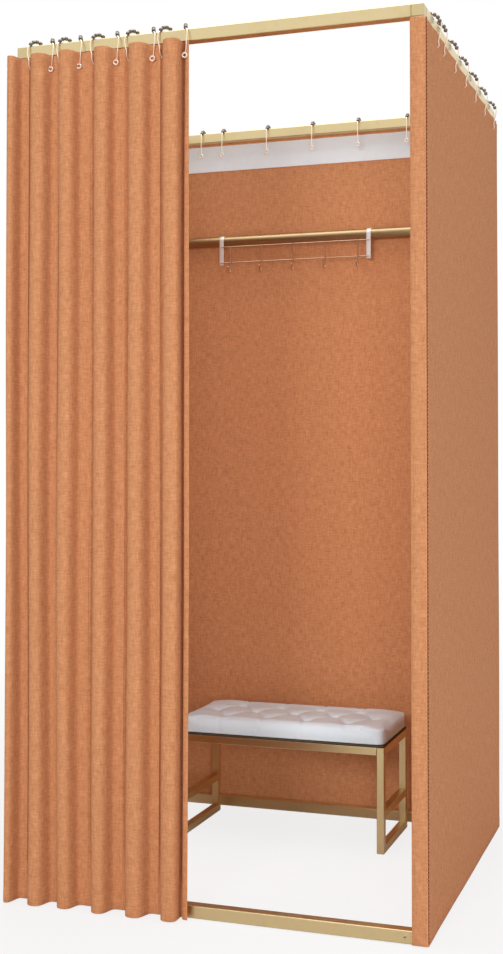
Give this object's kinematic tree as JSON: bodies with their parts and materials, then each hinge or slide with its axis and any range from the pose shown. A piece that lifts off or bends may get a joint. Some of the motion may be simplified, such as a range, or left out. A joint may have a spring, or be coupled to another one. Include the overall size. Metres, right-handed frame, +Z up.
{
  "type": "portable fitting room",
  "caption": "Free-standing square-tube changing booth with cloth walls, a sliding front curtain on roller hooks, a clothes rail, a sliding hook rack and a tufted bench.",
  "frame": {"origin": "on the floor, at the centre of the whole booth's footprint with the curtain drawn open", "axes": "+X to the right as seen from the doorway, +Y from the doorway to the rear panel, +Z up"},
  "size_m": [1.0028, 1.0224, 2.0129],
  "materials": {
    "champagne_tube": "satin champagne gold lacquer",
    "corner_connector": "satin champagne gold",
    "clothes_rail_metal": "polished rose gold",
    "terracotta_cloth": "coarse linen weave",
    "white_tape": "plain header tape",
    "hook_metal": "pale gold plating",
    "rack_steel": "satin",
    "foot_rubber": "matt",
    "seat_board": "dark stained",
    "white_leatherette": "fine grained, satin"
  },
  "bodies": {
    "booth": {"post_front_left": "champagne_tube", "post_front_right": "champagne_tube", "post_rear_left": "champagne_tube", "post_rear_right": "champagne_tube", "top_beam_front": "champagne_tube", "top_beam_rear": "champagne_tube", "top_beam_left": "champagne_tube", "top_beam_right": "champagne_tube", "bottom_rail_front": "champagne_tube", "bottom_rail_rear": "champagne_tube", "bottom_rail_left": "champagne_tube", "bottom_rail_right": "champagne_tube", "connector_top_front_left": "corner_connector", "connector_top_front_right": "corner_connector", "connector_top_rear_left": "corner_connector", "connector_top_rear_right": "corner_connector", "connector_bottom_front_left": "corner_connector", "connector_bottom_front_right": "corner_connector", "connector_bottom_rear_left": "corner_connector", "connector_bottom_rear_right": "corner_connector", "glide_foot_front_left": "foot_rubber", "glide_foot_front_right": "foot_rubber", "glide_foot_rear_left": "foot_rubber", "glide_foot_rear_right": "foot_rubber", "clothes_rail": "clothes_rail_metal", "rail_socket_left": "champagne_tube", "rail_socket_right": "champagne_tube", "side_panel_right": "terracotta_cloth", "side_panel_left": "terracotta_cloth", "rear_panel": "terracotta_cloth", "header_tape_rear": "white_tape", "header_tape_left": "white_tape", "header_tape_right": "white_tape", "curtain_section_1": "terracotta_cloth"},
    "curtain_valley_1": {"curtain_section_2": "terracotta_cloth", "curtain_hook_01": "hook_metal"},
    "curtain_valley_2": {"curtain_section_3": "terracotta_cloth", "curtain_hook_02": "hook_metal", "curtain_hook_03": "hook_metal"},
    "curtain_valley_3": {"curtain_section_4": "terracotta_cloth", "curtain_hook_04": "hook_metal", "curtain_hook_05": "hook_metal"},
    "curtain_valley_4": {"curtain_section_5": "terracotta_cloth", "curtain_hook_06": "hook_metal", "curtain_hook_07": "hook_metal"},
    "curtain_valley_5": {"curtain_section_6": "terracotta_cloth", "curtain_hook_08": "hook_metal", "curtain_hook_09": "hook_metal"},
    "curtain_valley_6": {"curtain_section_7": "terracotta_cloth", "curtain_hook_10": "hook_metal"},
    "hook_rack": {"hook_rack": "rack_steel"},
    "bench": {"bench_end_loop_left": "champagne_tube", "bench_end_loop_right": "champagne_tube", "bench_stretcher_left": "champagne_tube", "bench_stretcher_right": "champagne_tube", "bench_seat_rail_front": "champagne_tube", "bench_seat_rail_rear": "champagne_tube", "bench_seat_board": "seat_board", "bench_cushion": "white_leatherette"}
  },
  "joints": [
    {"name": "curtain_fold_1", "type": "slide", "parent": "booth", "child": "curtain_valley_1", "axis": [1, 0, 0], "range_m": [0, 0.082]},
    {"name": "curtain_fold_2", "type": "slide", "parent": "curtain_valley_1", "child": "curtain_valley_2", "axis": [1, 0, 0], "range_m": [0, 0.082]},
    {"name": "curtain_fold_3", "type": "slide", "parent": "curtain_valley_2", "child": "curtain_valley_3", "axis": [1, 0, 0], "range_m": [0, 0.082]},
    {"name": "curtain_fold_4", "type": "slide", "parent": "curtain_valley_3", "child": "curtain_valley_4", "axis": [1, 0, 0], "range_m": [0, 0.082]},
    {"name": "curtain_fold_5", "type": "slide", "parent": "curtain_valley_4", "child": "curtain_valley_5", "axis": [1, 0, 0], "range_m": [0, 0.082]},
    {"name": "curtain_fold_6", "type": "slide", "parent": "curtain_valley_5", "child": "curtain_valley_6", "axis": [1, 0, 0], "range_m": [0, 0.082]},
    {"name": "rack_slide", "type": "slide", "parent": "booth", "child": "hook_rack", "axis": [1, 0, 0], "range_m": [-0.113, 0.3]},
    {"name": "bench_slide", "type": "slide", "parent": "booth", "child": "bench", "axis": [0, 1, 0], "range_m": [-0.55, 0.04]}
  ],
  "couplings": [
    {"joint": "curtain_fold_2", "follows": "curtain_fold_1", "ratio": 1},
    {"joint": "curtain_fold_3", "follows": "curtain_fold_1", "ratio": 1},
    {"joint": "curtain_fold_4", "follows": "curtain_fold_1", "ratio": 1},
    {"joint": "curtain_fold_5", "follows": "curtain_fold_1", "ratio": 1},
    {"joint": "curtain_fold_6", "follows": "curtain_fold_1", "ratio": 1}
  ]
}
